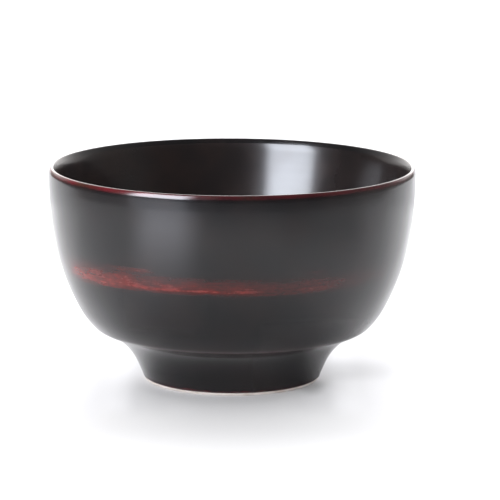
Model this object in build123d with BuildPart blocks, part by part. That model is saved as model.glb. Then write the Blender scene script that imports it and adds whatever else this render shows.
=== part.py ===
from build123d import *
import os

# A rice bowl in glazed ceramic: a thin turned wall on a flared foot ring.
# The clay is coated inside and out; only the edge that the bowl stands on is bare.
# Every piece is turned about Z, with the origin at the centre of the contact plane.
# Lengths are in millimetres and angles in degrees.

# Overall size
rim_diameter = 120.0
bowl_height = 70.75
glaze_thickness = 0.4

# Lip: a tight curve from the inside over the crest, then a softer one down to the upright wall
lip_edge_inset = 0.404  # where the tight curve ends, from the rim's full radius
lip_edge_depth = 0.342
outer_lip_radius = 3.5
upright_stretch = 1.065

# Outer wall below the lip: radius and turn of each arc. The last one is hollow.
upper_wall = (116.0, -11.0)
belly = (72.0, -17.6)
shoulder = (28.0, -15.4)
heel = (7.15, -26.3)
neck = (21.0, 46.3)

# Inside, from the centre of the floor to the lip, which flares a little
floor_height = 14.1
floor_edge = (28.5, 15.1)
inner_belly = (44.5, 25.73)
inner_wall = (53.0, 48.0)
flare = (57.3, 67.35)
inner_lip = (58.46, 70.44)

# Foot ring
foot_inner_radius = 24.6
recess_radius = 24.0  # the recess narrows upwards
recess_height = 8.5
foot_edge_fillet = 0.9
recess_fillet = 2.0
foot_joint_height = 6.0  # where the ring is luted to the body
bare_edge_height = 1.0  # wiped clean of glaze, up to here

# Where the coats meet
rim_coat_bottom = bowl_height - 1.5
stripe_bottom = 39.5
stripe_top = 43.0
coat_middle_radius = 26.5  # in the foot's thickness, between its two sides
far = 90.0  # beyond every surface

os.makedirs("parts", exist_ok=True)


# ---------------------------------------------------------------- half sections
# In these sketches X is the distance from the bowl's axis and Y is the height.

with BuildSketch() as glazed_section:
    with BuildLine():
        lip_edge = (rim_diameter / 2 - lip_edge_inset, bowl_height - lip_edge_depth)
        start, heading = Vector(0, floor_height), Vector(1, 0)
        for point in (floor_edge, inner_belly, inner_wall, flare, inner_lip, lip_edge):
            stretch = TangentArc(start, point, tangent=heading)
            start, heading = stretch @ 1, stretch % 1
        stretch = JernArc(start, heading, outer_lip_radius, -heading.get_angle(Vector(0, -1)))
        stretch = Line(stretch @ 1, stretch @ 1 - Vector(0, upright_stretch))
        for radius, turn in (upper_wall, belly, shoulder, heel, neck):
            stretch = JernArc(stretch @ 1, stretch % 1, radius, turn)
        neck_end, slope = stretch @ 1, stretch % 1
        Polyline(
            neck_end,
            neck_end - slope * (neck_end.Y / slope.Y),
            (foot_inner_radius, 0),
            (recess_radius, recess_height),
            (0, recess_height),
            (0, floor_height),
        )
    make_face()
    fillet(glazed_section.vertices().group_by(Axis.Y)[0], radius=foot_edge_fillet)
    recess_corner = glazed_section.vertices().sort_by_distance((recess_radius, recess_height))[0]
    fillet(recess_corner, radius=recess_fillet)

with BuildSketch() as core_section:
    add(glazed_section)
    mirror(about=Plane.YZ)
    offset(amount=-glaze_thickness)
    split(bisect_by=Plane.YZ)

with BuildSketch() as clay_section:
    add(glazed_section)
    with Locations((far / 2, bare_edge_height / 2)):
        Rectangle(far, bare_edge_height, mode=Mode.INTERSECT)
    add(core_section)

with BuildSketch() as coat_section:
    add(glazed_section)
    add(clay_section, mode=Mode.SUBTRACT)

# The hollow's side of a line that runs inside the clay, from the axis to above the lip
with BuildSketch() as inner_side:
    with BuildLine():
        Polyline(
            (0, 11.4),
            (22.0, 11.4),
            (38.0, 17.0),
            (48.1, 25.0),
            (55.7, 45.0),
            (59.1, 69.0),
            (59.1, far),
            (0, far),
            close=True,
        )
    make_face()


def band(low, high, inner=0.0, outer=far):
    """Rectangle between two heights and two distances from the axis."""
    with BuildSketch() as rectangle:
        with Locations(((inner + outer) / 2, (low + high) / 2)):
            Rectangle(outer - inner, high - low)
    return rectangle.sketch


def coat(limits, side=Mode.SUBTRACT):
    """Half section of the glaze within some limits, on the outer side or the inner one."""
    with BuildSketch() as section:
        add(coat_section)
        add(limits, mode=Mode.INTERSECT)
        add(inner_side, mode=side)
    return section.sketch


# ---------------------------------------------------------------- clay

# Bowl: wall, floor and the boss that the ring is luted to
with BuildPart() as clay_body:
    with BuildSketch(Plane.XZ):
        add(clay_section)
        add(band(foot_joint_height, far), mode=Mode.INTERSECT)
    revolve(axis=Axis.Z)

# Foot ring, with its bare, rounded standing edge
with BuildPart() as foot_ring:
    with BuildSketch(Plane.XZ):
        add(clay_section)
        add(band(0, foot_joint_height), mode=Mode.INTERSECT)
    revolve(axis=Axis.Z)


# ---------------------------------------------------------------- coats of glaze

# Inside, from the rim's coat down and over the floor
with BuildPart() as inner_glaze:
    with BuildSketch(Plane.XZ):
        add(coat(band(0, rim_coat_bottom), side=Mode.INTERSECT))
    revolve(axis=Axis.Z)

# Thin red-brown break over the lip
with BuildPart() as rim_glaze:
    with BuildSketch(Plane.XZ):
        add(coat_section)
        add(band(rim_coat_bottom, far), mode=Mode.INTERSECT)
    revolve(axis=Axis.Z)

# Outer wall above the stripe
with BuildPart() as upper_wall_glaze:
    with BuildSketch(Plane.XZ):
        add(coat(band(stripe_top, rim_coat_bottom)))
    revolve(axis=Axis.Z)

# Stripe of red slip, brushed on round the belly
with BuildPart() as brushed_stripe:
    with BuildSketch(Plane.XZ):
        add(coat(band(stripe_bottom, stripe_top)))
    revolve(axis=Axis.Z)

# Outer wall below the stripe, round the heel and into the neck
with BuildPart() as lower_wall_glaze:
    with BuildSketch(Plane.XZ):
        add(coat(band(foot_joint_height, stripe_bottom, inner=coat_middle_radius)))
    revolve(axis=Axis.Z)

# Outside of the foot ring, down to the bare edge
with BuildPart() as foot_glaze:
    with BuildSketch(Plane.XZ):
        add(coat(band(bare_edge_height, foot_joint_height, inner=coat_middle_radius)))
    revolve(axis=Axis.Z)

# Recess under the base: its ceiling and the ring's inner side
with BuildPart() as base_glaze:
    with BuildSketch(Plane.XZ):
        add(coat(band(bare_edge_height, 11.0, outer=coat_middle_radius)))
    revolve(axis=Axis.Z)


# ---------------------------------------------------------------- labels and files

pieces = {
    "clay_body": clay_body,
    "foot_ring": foot_ring,
    "inner_glaze": inner_glaze,
    "rim_glaze": rim_glaze,
    "upper_wall_glaze": upper_wall_glaze,
    "brushed_stripe": brushed_stripe,
    "lower_wall_glaze": lower_wall_glaze,
    "foot_glaze": foot_glaze,
    "base_glaze": base_glaze,
}
for name, piece in pieces.items():
    piece.part.label = name
    export_step(piece.part, f"parts/{name}.step")
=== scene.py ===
import math

import bpy
import numpy as np
from mathutils import Matrix, Vector


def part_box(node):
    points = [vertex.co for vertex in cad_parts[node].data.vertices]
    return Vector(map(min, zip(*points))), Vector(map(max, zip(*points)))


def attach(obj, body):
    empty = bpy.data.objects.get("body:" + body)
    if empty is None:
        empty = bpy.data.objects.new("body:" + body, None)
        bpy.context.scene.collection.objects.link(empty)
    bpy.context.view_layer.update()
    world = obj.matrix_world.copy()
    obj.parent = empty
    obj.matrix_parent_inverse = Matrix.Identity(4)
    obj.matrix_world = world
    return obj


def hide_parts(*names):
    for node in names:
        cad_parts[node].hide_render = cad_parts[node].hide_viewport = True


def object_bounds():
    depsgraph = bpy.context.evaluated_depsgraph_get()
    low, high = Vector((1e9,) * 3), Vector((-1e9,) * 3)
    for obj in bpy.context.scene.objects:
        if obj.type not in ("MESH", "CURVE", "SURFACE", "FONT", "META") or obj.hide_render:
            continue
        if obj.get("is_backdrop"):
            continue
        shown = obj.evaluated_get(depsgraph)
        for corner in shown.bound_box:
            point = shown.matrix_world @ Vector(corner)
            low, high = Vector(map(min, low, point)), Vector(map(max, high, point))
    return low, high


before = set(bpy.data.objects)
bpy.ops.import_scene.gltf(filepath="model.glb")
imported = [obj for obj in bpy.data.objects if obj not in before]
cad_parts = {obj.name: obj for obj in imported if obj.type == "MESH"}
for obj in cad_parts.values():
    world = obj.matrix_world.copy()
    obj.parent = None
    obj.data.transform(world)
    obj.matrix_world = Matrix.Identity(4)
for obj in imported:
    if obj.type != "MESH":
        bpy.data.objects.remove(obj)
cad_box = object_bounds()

# The rice bowl's looks. Lengths are metres and angles are degrees, in the CAD's frame:
# +Z up, the origin at the centre of the foot's contact plane, the camera towards -Y.
# Azimuths round the bowl start at the front (-Y) and grow towards +X.


# ------------------------------------------------------------------ sizes

def low(node):
    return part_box(node)[0].z


def high(node):
    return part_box(node)[1].z


RIM_RADIUS = cad_box[1].x
HEIGHT = cad_box[1].z
RIM_COAT_BOTTOM = low("rim_glaze")
STRIPE_TOP = high("brushed_stripe")
STRIPE_BOTTOM = low("brushed_stripe")
FOOT_JOINT = high("foot_ring")
BARE_EDGE_TOP = low("foot_glaze")
GLAZE = 0.0004  # thickness of the coats

# The half section, as in the CAD: the inside's places up to the lip, then the radius and
# turn of each arc down the outside
FLOOR_HEIGHT = 0.0141
INNER_POINTS = (
    (0.0285, 0.0151),
    (0.0445, 0.02573),
    (0.053, 0.048),
    (0.0573, 0.06735),
    (0.05846, 0.07044),
)
LIP_EDGE = (0.059596, 0.070408)
OUTER_LIP_RADIUS = 0.0035
UPRIGHT_STRETCH = 0.001065
OUTER_ARCS = ((0.116, -11.0), (0.072, -17.6), (0.028, -15.4), (0.00715, -26.3), (0.021, 46.3))
FOOT_EDGE_FILLET = 0.0009
FOOT_INNER_RADIUS = 0.0246
RECESS_RADIUS = 0.024
RECESS_HEIGHT = 0.0085
RECESS_FILLET = 0.002
HEEL_HEIGHT = 0.0176

# Mesh density
SEGMENTS = 480  # round the bowl
OUTLINE_STEP = 0.00005
RING_SPACING = 0.00055
FINE_SPACING = 0.00014  # over the stripe and the glaze's lower edge
RING_TURN = 5.0  # most that the outline turns from ring to ring
HIDDEN_STEP = 6  # on a coat's clay side, one ring in this many
ON_AXIS = 1e-7  # a ring this small is one point
BRUSHED_HEIGHTS = (STRIPE_BOTTOM - 0.0008, STRIPE_TOP + 0.0035)
BRUSHED_REACH = 0.93 * RIM_RADIUS  # the brushed wall is farther than this from the axis
BEADED_TOP = 2 * BARE_EDGE_TOP


# ------------------------------------------------------------------ outline

class Outline:
    """A half section walked as lines and tangent arcs, with the clay on the right.

    Its points are (distance from the axis, height).
    """

    def __init__(self, start, heading=0.0):
        self.points = [Vector(start)]
        self.heading = heading

    def line_to(self, end):
        start, end = self.points[-1], Vector(end)
        count = max(1, math.ceil((end - start).length / OUTLINE_STEP))
        self.points += [start.lerp(end, (i + 1) / count) for i in range(count)]
        self.heading = math.atan2(end.y - start.y, end.x - start.x)

    def arc(self, radius, turn):
        """A positive turn is to the left."""
        turn = math.radians(turn)
        side = math.copysign(radius, turn)
        centre = self.points[-1] + side * Vector((-math.sin(self.heading), math.cos(self.heading)))
        count = math.ceil(abs(turn) * radius / OUTLINE_STEP)
        for i in range(count):
            angle = self.heading + turn * (i + 1) / count
            self.points.append(centre - side * Vector((-math.sin(angle), math.cos(angle))))
        self.heading += turn

    def arc_to(self, end):
        chord = Vector(end) - self.points[-1]
        bend = math.atan2(chord.y, chord.x) - self.heading
        bend = (bend + math.pi) % (2 * math.pi) - math.pi
        self.arc(chord.length / (2 * abs(math.sin(bend))), math.degrees(2 * bend))

    def round_corner(self, corner, beyond, radius):
        """Straight towards a corner, then a fillet that points at the place beyond it."""
        corner, beyond = Vector(corner), Vector(beyond)
        inward = (corner - self.points[-1]).normalized()
        outward = (beyond - corner).normalized()
        turn = math.atan2(inward.x * outward.y - inward.y * outward.x, inward.dot(outward))
        self.line_to(corner - inward * radius * math.tan(abs(turn) / 2))
        self.arc(radius, math.degrees(turn))


def walk_outline():
    """From the middle of the floor over the lip and under the foot to the middle of the recess."""
    walk = Outline((0.0, FLOOR_HEIGHT))
    for point in (*INNER_POINTS, LIP_EDGE):
        walk.arc_to(point)
    walk.arc(OUTER_LIP_RADIUS, -90.0 - math.degrees(walk.heading))
    walk.line_to(walk.points[-1] - Vector((0.0, UPRIGHT_STRETCH)))
    for radius, turn in OUTER_ARCS:
        walk.arc(radius, turn)
    neck_end = walk.points[-1]
    foot_edge = (neck_end.x - neck_end.y / math.tan(walk.heading), 0.0)
    contact_end = (FOOT_INNER_RADIUS, 0.0)
    recess_corner = (RECESS_RADIUS, RECESS_HEIGHT)
    recess_centre = (0.0, RECESS_HEIGHT)
    walk.round_corner(foot_edge, contact_end, FOOT_EDGE_FILLET)
    walk.round_corner(contact_end, recess_corner, FOOT_EDGE_FILLET)
    walk.round_corner(recess_corner, recess_centre, RECESS_FILLET)
    walk.line_to(recess_centre)
    return np.array(walk.points)


def crossings(points, heights):
    """Index of the point at which the outline next crosses each height in turn."""
    found, start = [], 0
    for height in heights:
        above = points[start:, 1] > height
        start += int(np.argmax(above != above[0]))
        found.append(start)
    return found


def ring_indexes(points, keep):
    """The outline's points that carry a ring of the mesh: those to keep, and enough between."""
    steps = np.diff(points, axis=0)
    headings = np.unwrap(np.arctan2(steps[:, 1], steps[:, 0]))
    lengths = np.linalg.norm(steps, axis=1)
    chosen, travelled, since = [0], 0.0, headings[0]
    for i in range(1, len(points) - 1):
        travelled += lengths[i - 1]
        height = points[i, 1]
        brushed = BRUSHED_HEIGHTS[0] < height < BRUSHED_HEIGHTS[1] and points[i, 0] > BRUSHED_REACH
        spacing = FINE_SPACING if brushed or height < BEADED_TOP else RING_SPACING
        if i in keep or travelled >= spacing or abs(headings[i] - since) > math.radians(RING_TURN):
            chosen.append(i)
            travelled, since = 0.0, headings[i]
    return np.array(chosen + [len(points) - 1])


points = walk_outline()
cuts = crossings(
    points,
    (RIM_COAT_BOTTOM, RIM_COAT_BOTTOM, STRIPE_TOP, STRIPE_BOTTOM, FOOT_JOINT)
    + (BARE_EDGE_TOP, BARE_EDGE_TOP, FOOT_JOINT),
)
rings = ring_indexes(points, set(cuts))
steps = np.linalg.norm(np.diff(points, axis=0), axis=1)
distances = np.concatenate(([0.0], np.cumsum(steps)))[rings]
tangents = np.gradient(points, axis=0)[rings]
tangents /= np.linalg.norm(tangents, axis=1)[:, None]
outwards = np.stack((-tangents[:, 1], tangents[:, 0]), axis=1)
outline = points[rings]
core = outline - outwards * GLAZE
core[[0, -1], 0] = 0.0
ends = [0] + [int(np.searchsorted(rings, cut)) for cut in cuts] + [len(rings) - 1]
INSIDE, LIP, UPPER_WALL, STRIPE, LOWER_WALL, FOOT, BARE_EDGE, FOOT_INSIDE, RECESS = (
    slice(start, end + 1) for start, end in zip(ends, ends[1:])
)
CREST = distances[int(np.argmax(outline[:, 1]))]


# ------------------------------------------------------------------ patterns round the bowl

def waves(rng, count, turns, along):
    """Random waves that close on themselves round the bowl.

    Each is a whole number of turns, a frequency along the outline and a phase.
    """
    return list(
        zip(
            rng.integers(turns[0], turns[1] + 1, count),
            rng.uniform(along[0], along[1], count) * rng.choice((-1, 1), count),
            rng.uniform(0.0, 2 * math.pi, count),
        )
    )


def ripple(pattern, azimuth, distance=0.0):
    """The waves added up, with a spread of about 1 either way."""
    total = sum(
        np.cos(turns * azimuth + 2 * math.pi * along * distance + phase)
        for turns, along, phase in pattern
    )
    return total / math.sqrt(len(pattern) / 2)


def ramp(start, end, value):
    """0 before the start, 1 after the end, and smooth between; start may be the larger."""
    share = np.clip((value - start) / (end - start), 0.0, 1.0)
    return share * share * (3 - 2 * share)


RNG = np.random.default_rng(47)
TURNING_RINGS = waves(RNG, 14, (0, 1), (150.0, 420.0))
SOFT_SWELL = waves(RNG, 10, (1, 5), (5.0, 30.0))
HAIRS = waves(RNG, 70, (0, 14), (300.0, 1700.0))
GAPS = waves(RNG, 40, (1, 34), (50.0, 380.0))
BRUSH_PATH = waves(RNG, 6, (2, 9), (0.0, 0.0))
EDGE_WANDER = waves(RNG, 18, (2, 44), (0.0, 0.0))
LIP_PATCHES = waves(RNG, 18, (1, 26), (0.0, 500.0))

# How far each thing stands out of the glaze
RING_LIFT = 0.0000013
SWELL_LIFT = 0.000008
SLIP_LIFT = 0.00003
BEAD_LIFT = 0.00009
SAND_LIFT = 0.000006  # of the bare edge


def surface_lift(azimuth, distance, height):
    """Faint turning rings and the slow swell of melted glaze."""
    rings = RING_LIFT * ripple(TURNING_RINGS, azimuth, distance)
    return rings + SWELL_LIFT * ripple(SOFT_SWELL, azimuth, distance)


def turn_of(azimuth):
    """An azimuth in degrees, from -180 to 180."""
    return (np.degrees(azimuth) + 180.0) % 360.0 - 180.0


def between(azimuth, start, end, soft):
    """1 between two azimuths, fading outside them."""
    turn = turn_of(azimuth)
    return ramp(start - soft, start + soft, turn) * ramp(end + soft, end - soft, turn)


def bump(value, middle, width):
    """1 at the middle, fading either way."""
    return np.exp(-(((value - middle) / width) ** 2))


# How much red shows round the bowl: the brush is set down at the left and runs dry to the right
BRUSH_TURNS = (-80, -72, -66, -61, -50, -15, -8, 4, 10, 18, 25, 34, 40, 50, 57, 63)
BRUSH_LOADS = (0, 0.06, 0.20, 0.70, 0.68, 0.68, 0.54, 0.52, 0.26, 0.18, 0.25, 0.19, 0.11, 0.08, 0.05, 0)


def brush_load(azimuth):
    """How much slip the brush leaves, from 0 to 1."""
    return np.interp(turn_of(azimuth), BRUSH_TURNS, BRUSH_LOADS, left=0.0, right=0.0)


def slip_cover(azimuth, distance, height):
    """How far the red slip covers the black of the outer wall, from 0 to 1."""
    wander = 0.00022 * ripple(BRUSH_PATH, azimuth)
    lower, upper = STRIPE_BOTTOM + wander, STRIPE_TOP + wander
    body = ramp(lower - 0.0020, lower + 0.0006, height) * ramp(upper + 0.0022, upper - 0.0024, height)
    # The brush's lower edge leaves a bright ridge along the middle of its path
    trail = between(azimuth, -33.0, 8.5, 5.0)
    band = body * (1.0 - 0.48 * trail) + 0.75 * bump(height, lower + 0.0002, 0.0005) * trail
    # Loose hairs leave a faint streak above the stripe, and a haze between the two
    streak = bump(height, upper + 0.0022, 0.0009)
    haze = ramp(upper - 0.001, upper, height) * ramp(upper + 0.0040, upper + 0.0020, height)
    faint = (
        0.20 * streak * between(azimuth, -39.0, -26.0, 3.0)
        + 0.10 * haze * between(azimuth, -64.0, -38.0, 6.0)
        + 0.07 * streak * between(azimuth, 24.0, 31.0, 3.0)
    )
    mottle = 1.0 + 0.15 * ripple(HAIRS, azimuth, distance) + 0.17 * ripple(GAPS, azimuth, distance)
    cover = (brush_load(azimuth) * band + faint) * np.clip(mottle, 0.15, 1.8)
    return np.clip(cover * (distance > CREST), 0.0, 1.0)


def thin_glaze(azimuth, distance, height):
    """Where the coat runs thin over an edge and breaks to red-brown, from 0 to 1."""
    patches = 0.5 + 0.5 * np.clip(ripple(LIP_PATCHES, azimuth, distance) * 0.8, -1.0, 1.0)
    below = distance - CREST
    lip = ramp(-0.0002, 0.0003, below) * ramp(0.0022, 0.0009, below) * (0.75 + 0.25 * patches)
    lip = lip * (0.24 + 0.32 * between(azimuth, -120.0, -22.0, 9.0))
    heel = bump(height, HEEL_HEIGHT, 0.0009) * (0.04 + 0.10 * patches)
    wander = 0.00012 * ripple(EDGE_WANDER, azimuth)
    foot = 0.22 * ramp(BARE_EDGE_TOP + 0.0012, BARE_EDGE_TOP, height + wander)
    return np.clip(lip + (heel + foot) * (distance > CREST), 0.0, 1.0)


def coat_lift(azimuth, distance, height):
    """The glaze's own relief: its swell, the slip's body and the bead at its lower edge."""
    slip = SLIP_LIFT * slip_cover(azimuth, distance, height)
    above_edge = height - BARE_EDGE_TOP
    uneven = 1.0 + 0.3 * ripple(EDGE_WANDER, azimuth)
    bead = BEAD_LIFT * uneven * bump(above_edge, 0.0005, 0.00035)
    roll = BEAD_LIFT * ramp(0.00025, 0.0, above_edge)
    return surface_lift(azimuth, distance, height) + slip + bead - roll


def sandy_lift(azimuth, distance, height):
    """The wiped edge is a little uneven, and never below the table's top."""
    return SAND_LIFT * (np.clip(ripple(EDGE_WANDER, azimuth, distance), -1.0, 1.0) - 1.0)


# ------------------------------------------------------------------ lathed shells

def lathe(name, front, hidden, lift, marks):
    """A closed shell turned about Z.

    front is a slice of the outline and hidden the points of the face behind it, which go
    back from the front's end to its start. lift raises the front, and marks are functions
    whose values stay on the points for the material to read.
    """
    azimuth = np.arange(SEGMENTS)[None, :] * 2 * math.pi / SEGMENTS
    face, normals = outline[front], outwards[front]
    place = (azimuth, distances[front][:, None], face[:, [1]])
    raised = np.broadcast_to(lift(*place), (len(face), SEGMENTS))
    radius, height = (
        np.concatenate(
            (face[:, [i]] + normals[:, [i]] * raised, np.repeat(hidden[:, [i]], SEGMENTS, axis=1))
        )
        for i in (0, 1)
    )
    coords = np.stack((radius * np.sin(azimuth), -radius * np.cos(azimuth), height), axis=2)
    values = {key: np.zeros(radius.shape) for key in marks}
    for key, mark in marks.items():
        values[key][: len(face)] = mark(*place)

    count = len(radius)
    index = np.arange(count * SEGMENTS).reshape(count, SEGMENTS)
    poles = [row for row in range(count) if radius[row].max() < ON_AXIS]
    for row in poles:
        index[row] = index[row, 0]
    quads = []
    for row in range(count - 1 if poles else count):
        this, following = index[row], index[(row + 1) % count]
        corners = [this, following, np.roll(following, -1), np.roll(this, -1)]
        if row in poles:
            del corners[3]
        elif (row + 1) % count in poles:
            del corners[2]
        quads.append(np.stack(corners, axis=1))
    used = np.unique(np.concatenate([rows.reshape(-1) for rows in quads]))
    renumber = np.full(count * SEGMENTS, -1)
    renumber[used] = np.arange(len(used))
    faces = [face for rows in quads for face in renumber[rows].tolist()]
    mesh = bpy.data.meshes.new(name)
    mesh.from_pydata(coords.reshape(-1, 3)[used].tolist(), [], faces)
    for key, value in values.items():
        layer = mesh.attributes.new(key, "FLOAT", "POINT")
        layer.data.foreach_set("value", value.reshape(-1)[used].astype(np.float32))
    mesh.shade_smooth()
    rims = {0, len(face) - 1, len(face), count - 1} - set(poles)
    ring_of = np.repeat(np.arange(count), SEGMENTS)[used]
    for edge in mesh.edges:
        a, b = (ring_of[v] for v in edge.vertices)
        if a == b and a in rims:
            edge.use_edge_sharp = True
    mesh.validate()
    mesh.update()
    piece = bpy.data.objects.new(name, mesh)
    bpy.context.collection.objects.link(piece)
    return piece


def behind(part):
    """The clay side of a coat, from its end to its start, with fewer rings."""
    rows = core[part][::-1]
    keep = sorted({*range(0, len(rows), HIDDEN_STEP), len(rows) - 1})
    return rows[keep]


# ------------------------------------------------------------------ material tools

class Nodes:
    """The node tree of a material or a world, with short ways to add nodes and link them."""

    def __init__(self, name, world=False):
        self.owner = (bpy.data.worlds if world else bpy.data.materials).new(name)
        self.owner.use_nodes = True
        self.tree = self.owner.node_tree
        self.tree.nodes.clear()
        kind = "ShaderNodeOutputWorld" if world else "ShaderNodeOutputMaterial"
        self.output = self.tree.nodes.new(kind)

    def add(self, kind, inputs=None, **settings):
        node = self.tree.nodes.new(kind)
        for key, value in settings.items():
            setattr(node, key, value)
        for key, value in (inputs or {}).items():
            self.put(node.inputs[key], value)
        return node

    def put(self, socket, value):
        if isinstance(value, bpy.types.NodeSocket):
            self.tree.links.new(value, socket)
        else:
            socket.default_value = value

    def vector(self, operation, first, second):
        node = self.add("ShaderNodeVectorMath", {0: first, 1: second}, operation=operation)
        return node.outputs["Vector" if operation == "MULTIPLY" else "Value"]

    def math(self, operation, first, second=0.0, clamp=False):
        node = self.add("ShaderNodeMath", {0: first, 1: second}, operation=operation, use_clamp=clamp)
        return node.outputs[0]

    def mix(self, share, first, second):
        node = self.add("ShaderNodeMix", data_type="RGBA")
        for socket, value in ((0, share), (6, first), (7, second)):
            self.put(node.inputs[socket], value)
        return node.outputs[2]

    def noise(self, vector, scale, detail=3.0, roughness=0.5):
        values = {"Vector": vector, "Scale": scale, "Detail": detail, "Roughness": roughness}
        return self.add("ShaderNodeTexNoise", values).outputs[0]

    def spread(self, value, start, end, low=0.0, high=1.0):
        values = {0: value, 1: start, 2: end, 3: low, 4: high}
        return self.add("ShaderNodeMapRange", values, interpolation_type="SMOOTHSTEP").outputs[0]

    def mark(self, name):
        return self.add("ShaderNodeAttribute", attribute_name=name).outputs["Fac"]

    def position(self):
        return self.add("ShaderNodeTexCoord").outputs["Object"]

    def bump(self, height, strength, distance):
        values = {"Height": height, "Strength": strength, "Distance": distance}
        return self.add("ShaderNodeBump", values).outputs[0]

    def surface(self, **inputs):
        values = {key.replace("_", " "): value for key, value in inputs.items()}
        return self.end(self.add("ShaderNodeBsdfPrincipled", values))

    def end(self, shader):
        self.tree.links.new(shader.outputs[0], self.output.inputs["Surface"])
        return self.owner


def colour(red, green, blue):
    return (red, green, blue, 1.0)


BLACK = colour(0.0068, 0.0063, 0.0074)
BROWN_BLACK = colour(0.0105, 0.0078, 0.0082)
# The inside's glaze is drawn lighter than the outside's: painted light for the bowl's shaded inside.
INNER_BLACK = colour(0.0147, 0.0116, 0.0120)
INNER_BROWN = colour(0.0190, 0.0128, 0.0120)
BREAK_RED = colour(0.21, 0.010, 0.018)
BREAK_BROWN = colour(0.090, 0.030, 0.012)
SLIP_RED = colour(0.22, 0.015, 0.011)
SLIP_DARK = colour(0.13, 0.012, 0.009)
CLAY_LIGHT = colour(0.70, 0.655, 0.63)
CLAY_DARK = colour(0.54, 0.48, 0.44)


def glaze_material(name, roughness=0.22, shades=(BLACK, BROWN_BLACK)):
    """Black iron glaze: brown mottling, red-brown where thin, red slip where brushed."""
    nodes = Nodes(name)
    place = nodes.position()
    cloud = nodes.noise(place, 90.0, 4.0)
    grain = nodes.noise(place, 1500.0, 2.0)
    speck = nodes.noise(place, 3600.0, 1.0)
    body = nodes.mix(nodes.spread(cloud, 0.34, 0.74), *shades)
    broken = nodes.mix(nodes.spread(cloud, 0.45, 0.75), BREAK_RED, BREAK_BROWN)
    thin = nodes.math("MULTIPLY", nodes.mark("thin"), nodes.spread(grain, 0.30, 0.55, 0.65, 1.0))
    body = nodes.mix(thin, body, broken)
    flat = nodes.vector("MULTIPLY", place, (1.0, 1.0, 3.0))
    dabs = nodes.spread(nodes.noise(flat, 480.0, 5.0, 0.68), 0.34, 0.66, 0.60, 1.32)
    cover = nodes.math("MULTIPLY", nodes.mark("slip"), dabs, clamp=True)
    red = nodes.mix(nodes.spread(speck, 0.35, 0.62), SLIP_DARK, SLIP_RED)
    base = nodes.mix(cover, body, red)
    gloss = nodes.spread(cloud, 0.3, 0.7, roughness - 0.03, roughness + 0.03)
    gloss = nodes.math("ADD", gloss, nodes.math("MULTIPLY", cover, 0.08))
    pores = nodes.bump(grain, 0.05, 0.0001)
    return nodes.surface(
        Base_Color=base,
        Roughness=gloss,
        IOR=1.36,
        Normal=pores,
        Coat_Weight=0.28,
        Coat_Roughness=0.10,
        Coat_IOR=1.5,
        Coat_Normal=pores,
    )


def clay_material():
    """Bare fired clay: pale, matt and sandy."""
    nodes = Nodes("bare_clay")
    place = nodes.position()
    sand = nodes.noise(place, 2600.0, 4.0, 0.6)
    stain = nodes.noise(place, 160.0, 3.0)
    base = nodes.mix(nodes.spread(stain, 0.4, 0.7), CLAY_LIGHT, CLAY_DARK)
    base = nodes.mix(nodes.spread(sand, 0.60, 0.72, 0.0, 0.5), base, CLAY_DARK)
    rough = nodes.spread(sand, 0.3, 0.7, 0.75, 0.92)
    return nodes.surface(Base_Color=base, Roughness=rough, Normal=nodes.bump(sand, 0.35, 0.00012))


# ------------------------------------------------------------------ the bowl

MARKS = {"slip": slip_cover, "thin": thin_glaze}
black_glaze = glaze_material("black_iron_glaze")
lip_glaze = glaze_material("breaking_lip_glaze", 0.20)
slip_glaze = glaze_material("brushed_red_slip")
# the inside's lighter glaze is painted light for its shaded inside
inner_glaze = glaze_material("inner_iron_glaze", 0.22, (INNER_BLACK, INNER_BROWN))
bare_clay = clay_material()


def coat(name, node, part, material, lift=coat_lift):
    """One coat of glaze, in place of its CAD node."""
    piece = lathe(name, part, behind(part), lift, MARKS)
    piece.data.materials.append(material)
    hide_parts(node)
    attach(piece, "root")
    return piece


coat("inside_coat", "inner_glaze", INSIDE, inner_glaze, surface_lift)
coat("lip_coat", "rim_glaze", LIP, lip_glaze)
coat("upper_wall_coat", "upper_wall_glaze", UPPER_WALL, black_glaze)
coat("red_stripe_coat", "brushed_stripe", STRIPE, slip_glaze)
coat("lower_wall_coat", "lower_wall_glaze", LOWER_WALL, black_glaze)
coat("foot_coat", "foot_glaze", FOOT, black_glaze)

under_base = slice(FOOT_INSIDE.start, RECESS.stop)
coat("base_coat", "base_glaze", under_base, black_glaze, surface_lift)


ring_behind = np.concatenate((core[FOOT_INSIDE], core[FOOT]))
ring = lathe("bare_foot_ring", BARE_EDGE, ring_behind, sandy_lift, {})
ring.data.materials.append(bare_clay)
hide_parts("foot_ring")
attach(ring, "root")

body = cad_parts["clay_body"]
body.data.materials.clear()
body.data.materials.append(bare_clay)


# ------------------------------------------------------------------ camera

CAMERA_DISTANCE = 1.05
CAMERA_ELEVATION = 11.05
CAMERA_ROLL = 0.267
LENS = 229.6
AIM_RIGHT, AIM_UP = 0.00589, 0.00711  # the photo's centre, from the middle of the bowl

elevation = math.radians(CAMERA_ELEVATION)
back = Vector((0.0, -math.cos(elevation), math.sin(elevation)))
right = Vector((1.0, 0.0, 0.0))
up = right.cross(-back)
middle = Vector((0.0, 0.0, HEIGHT / 2))
camera = bpy.data.objects.new("camera", bpy.data.cameras.new("camera"))
bpy.context.collection.objects.link(camera)
camera.location = middle + back * CAMERA_DISTANCE
sight = (middle + right * AIM_RIGHT + up * AIM_UP - camera.location).normalized()
camera.rotation_mode = "QUATERNION"
roll = Matrix.Rotation(math.radians(CAMERA_ROLL), 4, "Z").to_quaternion()
camera.rotation_quaternion = sight.to_track_quat("-Z", "Y") @ roll
camera.data.lens = LENS
camera.data.sensor_width = 36.0
camera.data.clip_start, camera.data.clip_end = 0.05, 60.0
scene = bpy.context.scene
scene.camera = camera


# ------------------------------------------------------------------ studio

FLOOR_HALF = 4.0
WHITE = colour(1.0, 1.0, 1.0)
DARK = colour(0.0, 0.0, 0.0)
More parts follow.
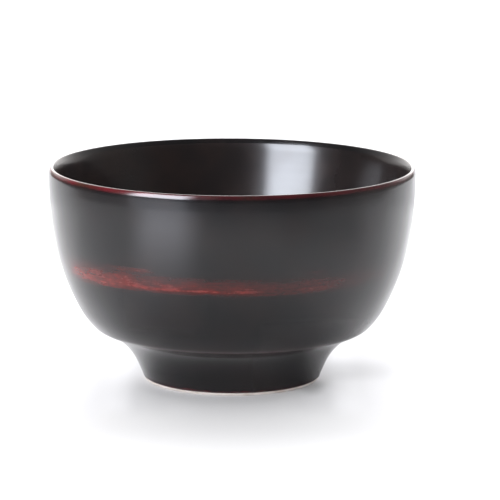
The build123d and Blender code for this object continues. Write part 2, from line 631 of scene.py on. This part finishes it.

# Painted shadow in the table's colour, by distance aside from its middle: where each change starts and
# ends, and its tone
ASIDE_SHADOW_TONES = ((0.016, 0.024, 0.75), (0.0295, 0.0355, 0.85), (0.037, 0.044, 0.79), (0.050, 0.058, 0.84))
# the painted shadow's tones are a little blue
PAINTED_SHADOW_BLUE = 1.028  # these tones' blue, compared with their red

# Extra painted shadow in the table's colour beside the foot: centre, narrowing across, full and end
# distances, depth
FOOT_SHADOWS = (((0.0262, -0.014), 3.0, 0.004, 0.017, 0.22), ((0.038, 0.010), 1.0, 0.003, 0.022, 0.15))

# What lights the room: an even glow and two soft lights, each with its strength, azimuth,
# width, elevation and height. The glaze mirrors the sheets further down instead of these.
ROOM_LIGHT = 0.93
BACK_LIGHT = (25.0, 180.0, 32.0, 13.0, 13.0)
SIDE_WINDOW = (18.5, -46.0, 15.0, 19.0, 8.0)

# Painted reflection of the room, by azimuth: low down, higher up, and overhead
ROOM_RADIUS = 3.4
ROOM_TURNS = (-180, -155, -130, -95, -60, 0, 60, 95, 130, 155, 180)
ROOM_LOW = (4.4, 2.4, 1.0, 0.20, 0.10, 0.10, 0.12, 0.28, 1.1, 2.6, 4.4)
ROOM_HIGH = (3.0, 1.6, 0.8, 0.12, 0.08, 0.08, 0.16, 0.42, 0.55, 1.3, 3.0)
OVERHEAD = 0.27

# Painted reflection of the dark room beyond the table: its distance and height in front, and changes at
# the sides
TABLE_END_TURNS = (-152.0, 152.0)
TABLE_END_REACH, SIDE_REACH = 0.39, 0.23
TABLE_END_HEIGHT, SIDE_DROP = 0.32, 0.22

# Painted reflection of a bright window at the front left
WINDOW_REACH = 0.384
WINDOW_TURNS = (-65.0, -21.5)
WINDOW_TOP = 0.40
WINDOW_HEIGHTS = (0.098, 0.128, 0.145, 0.25, WINDOW_TOP)
WINDOW_GLOWS = (0.0, 15.0, 24.0, 23.0, 19.5)
WINDOW_TINT = colour(0.91, 0.96, 1.056)


def floor_material():
    """Matt white; its colour holds painted shadow round the foot and painted light falling off towards
    the camera.
    """
    nodes = Nodes("pale_table_painted_shadow")
    place = nodes.position()
    fibre = nodes.noise(place, 700.0, 4.0)
    parts = nodes.add("ShaderNodeSeparateXYZ", {0: place}).outputs
    aside, depth = nodes.math("ABSOLUTE", parts["X"]), parts["Y"]
    base = nodes.mix(fibre, colour(0.78, 0.78, 0.80), colour(0.82, 0.82, 0.84))
    # painted shadow: bands of darker tone beside the foot
    for start, end, tone in ASIDE_SHADOW_TONES:
        shade = colour(tone, tone, tone * PAINTED_SHADOW_BLUE)
        base = nodes.mix(nodes.spread(aside, start, end), base, shade)
    # painted shadow in front of the foot
    painted_front_shadow = nodes.math(
        "MULTIPLY", nodes.spread(depth, -0.036, -0.062), nodes.spread(aside, 0.052, 0.040)
    )
    base = nodes.mix(painted_front_shadow, base, colour(0.785, 0.785, 0.80))
    # painted light: the table turns lighter where the shadow in front of the foot ends
    base = nodes.mix(nodes.spread(depth, -0.068, -0.108), base, colour(0.885, 0.885, 0.90))
    # painted shade: the table darkens farther towards the camera
    base = nodes.mix(nodes.spread(depth, -0.15, -0.36), base, colour(0.46, 0.46, 0.475))
    # painted shadow beside the foot
    for (x, y), narrowing, full, end, darkness in FOOT_SHADOWS:
        narrowed = nodes.vector("MULTIPLY", place, (narrowing, 1.0, 1.0))
        away = nodes.vector("DISTANCE", narrowed, (x * narrowing, y, 0.0))
        base = nodes.mix(nodes.spread(away, full, end, darkness, 0.0), base, DARK)
    weave = nodes.bump(fibre, 0.05, 0.0001)
    return nodes.surface(Base_Color=base, Roughness=0.9, Specular_IOR_Level=0.0, Normal=weave)


floor_mesh = bpy.data.meshes.new("table")
corners = [(x * FLOOR_HALF, y * FLOOR_HALF, 0.0) for x, y in ((-1, -1), (1, -1), (1, 1), (-1, 1))]
floor_mesh.from_pydata(corners, [], [(0, 1, 2, 3)])
floor_mesh.materials.append(floor_material())
table = bpy.data.objects.new("table", floor_mesh)
bpy.context.collection.objects.link(table)
table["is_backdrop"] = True


def room():
    """The world: an even room with a soft light behind and another at the front left."""
    nodes = Nodes("room", world=True)
    towards = nodes.add("ShaderNodeTexCoord").outputs["Generated"]

    def along(direction):
        return nodes.vector("DOT_PRODUCT", towards, direction)

    rise = nodes.math("ARCSINE", along((0.0, 0.0, 1.0)))
    total = ROOM_LIGHT
    for strength, azimuth, width, middle, height in (BACK_LIGHT, SIDE_WINDOW):
        a = math.radians(azimuth)
        ahead, aside = along((math.sin(a), -math.cos(a), 0.0)), along((math.cos(a), math.sin(a), 0.0))
        turn = nodes.math("DIVIDE", nodes.math("ARCTAN2", aside, ahead), math.radians(width))
        lift = nodes.math("SUBTRACT", rise, math.radians(middle))
        lift = nodes.math("DIVIDE", lift, math.radians(height))
        turn, lift = nodes.math("MULTIPLY", turn, turn), nodes.math("MULTIPLY", lift, lift)
        square = nodes.math("ADD", turn, lift)
        lobe = nodes.math("POWER", math.e, nodes.math("MULTIPLY", square, -1.0))
        total = nodes.math("ADD", total, nodes.math("MULTIPLY", lobe, strength))
    return nodes.end(nodes.add("ShaderNodeBackground", {"Color": WHITE, "Strength": total}))


scene.world = room()
scene.world.cycles_visibility.glossy = False


# ------------------------------------------------------------------ painted reflections: what the glaze mirrors

def sheet(name, spots, glows, material):
    """Rows of points joined into quads, a glow on each point, seen by mirrored rays only: a painted
    reflection that lights nothing.
    """
    count, width = spots.shape[:2]
    index = np.arange(count * width).reshape(count, width)
    quads = np.stack((index[:-1, :-1], index[:-1, 1:], index[1:, 1:], index[1:, :-1]), axis=2)
    mesh = bpy.data.meshes.new(name)
    mesh.from_pydata(spots.reshape(-1, 3).tolist(), [], quads.reshape(-1, 4).tolist())
    layer = mesh.attributes.new("glow", "FLOAT", "POINT")
    layer.data.foreach_set("value", np.ascontiguousarray(glows, dtype=np.float32).reshape(-1))
    mesh.materials.append(material)
    piece = bpy.data.objects.new(name, mesh)
    bpy.context.collection.objects.link(piece)
    piece.visible_camera = piece.visible_diffuse = piece.visible_shadow = False
    piece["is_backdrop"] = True


def around(turns, reaches, heights):
    """Places round the bowl, from azimuths in degrees, distances from the axis and heights."""
    a, reaches, heights = np.broadcast_arrays(np.radians(turns), reaches, heights)
    return np.stack((reaches * np.sin(a), -reaches * np.cos(a), heights), axis=2)


def glowing(name, tint):
    """Light as strong as the glow on the points."""
    nodes = Nodes(name)
    return nodes.end(nodes.add("ShaderNodeEmission", {"Color": tint, "Strength": nodes.mark("glow")}))


def room_shell():
    """A painted reflection of the room, lighting nothing: a dome, dark in front and bright behind, and
    dimmer low down behind.
    """
    turns = np.linspace(-180.0, 180.0, 73)[None, :]
    rises = np.linspace(-2.0, 90.0, 24)[:, None]
    low, high = (np.interp(turns, ROOM_TURNS, glows) for glows in (ROOM_LOW, ROOM_HIGH))
    glows = low + (high - low) * ramp(12.0, 35.0, rises)
    glows = glows * (1.0 - 0.6 * ramp(11.0, 3.0, rises) * ramp(110.0, 150.0, np.abs(turns)))
    glows = glows + (OVERHEAD - glows) * ramp(48.0, 78.0, rises)
    e = np.radians(rises)
    spots = around(turns, ROOM_RADIUS * np.cos(e), ROOM_RADIUS * np.sin(e))
    sheet("mirrored_room", spots, glows, glowing("mirrored_room", colour(1.0, 0.97, 0.96)))


def table_end():
    """Painted reflection of the dark room beyond the table: near in front, and farther and lower at the
    sides.
    """
    turns = np.linspace(*TABLE_END_TURNS, 97)[None, :]
    side = ramp(96.0, 136.0, np.abs(turns))
    heights = np.linspace(0.0, 1.0, 33)[:, None] ** 1.5 * (TABLE_END_HEIGHT - SIDE_DROP * side)
    skirting = (0.12 + 0.13 * ramp(45.0, 95.0, np.abs(turns))) * ramp(0.026, 0.0, heights)
    right_wall = 0.28 * ramp(45.0, 85.0, turns) * ramp(136.0, 110.0, turns)
    spots = around(turns, TABLE_END_REACH + SIDE_REACH * side, heights)
    glows = 0.045 + 0.26 * side + skirting + right_wall
    sheet("table_end", spots, glows, glowing("table_end", colour(1.0, 0.95, 0.93)))


def window():
    """Painted reflection of a tall window over a paler strip of wall; it lights nothing."""
    turns = np.linspace(*WINDOW_TURNS, 59)[None, :]
    heights = np.linspace(0.0, WINDOW_TOP, 81)[:, None]
    sides = ramp(-64.5, -58.5, turns) * ramp(-22.5, -30.5, turns)
    strip = 2.1 - 1.8 * ramp(0.0, 0.07, heights)
    glows = 0.06 + (strip + np.interp(heights, WINDOW_HEIGHTS, WINDOW_GLOWS)) * sides
    sheet("window", around(turns, WINDOW_REACH, heights), glows, glowing("window", WINDOW_TINT))


def fan(name, azimuths, distances, full, height, soft, material):
    """A fan-shaped sheet over the table. Its glow fades towards its sides and its first distance."""
    turns = np.linspace(*azimuths, 49)[None, :]
    reaches = np.linspace(*distances, 33)[:, None]
    half = (azimuths[1] - azimuths[0]) / 2
    sides = ramp(half, half * soft, np.abs(turns - sum(azimuths) / 2))
    glows = sides * ramp(distances[0], full, reaches)
    sheet(name, around(turns, reaches, height), glows, material)


def floor_pool(name, azimuths, distances, strength, tint, soft=0.2):
    """Painted reflection of light in the table's sheen, added to what the glaze mirrors."""
    nodes = Nodes(name)
    power = nodes.math("MULTIPLY", nodes.mark("glow"), strength)
    glow = nodes.add("ShaderNodeEmission", {"Color": tint, "Strength": power})
    clear = nodes.add("ShaderNodeBsdfTransparent", {"Color": WHITE})
    both = nodes.add("ShaderNodeAddShader", {0: glow.outputs[0], 1: clear.outputs[0]})
    fan(name, azimuths, distances, distances[1] * 0.68, 0.0003, soft, nodes.end(both))


def floor_shade(name, azimuths, distances, darkness, height, soft):
    """Painted shadow on the table that only the glaze mirrors, full halfway to the second distance."""
    nodes = Nodes(name)
    passed = nodes.math("SUBTRACT", 1.0, nodes.math("MULTIPLY", nodes.mark("glow"), darkness))
    tint = nodes.mix(passed, DARK, WHITE)
    clear = nodes.add("ShaderNodeBsdfTransparent", {"Color": tint})
    fan(name, azimuths, distances, sum(distances) / 2, height, soft, nodes.end(clear))


room_shell()
table_end()
window()
# painted reflections of light and shadow on the table, seen only in the glaze
floor_pool("window_pool", (-63, -13), (0.06, 0.384), 3.3, colour(0.96, 0.97, 1.08))
floor_pool("back_pool", (95, 265), (0.05, 0.32), 0.36, WHITE, 0.8)
floor_shade("right_foot_shade", (15, 125), (0.068, 0.026), 0.41, 0.0006, 0.4)
floor_shade("front_shade", (-85, 85), (0.110, 0.026), 0.13, 0.0009, 0.6)
floor_shade("right_shade", (16, 90), (0.11, 0.389), 0.36, 0.0012, 0.45)

scene.view_settings.view_transform = "Standard"
scene.cycles.use_denoising = True

boxes = {"cad": cad_box, "visual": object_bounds()}
{key: [list(corner) for corner in box] for key, box in boxes.items()}
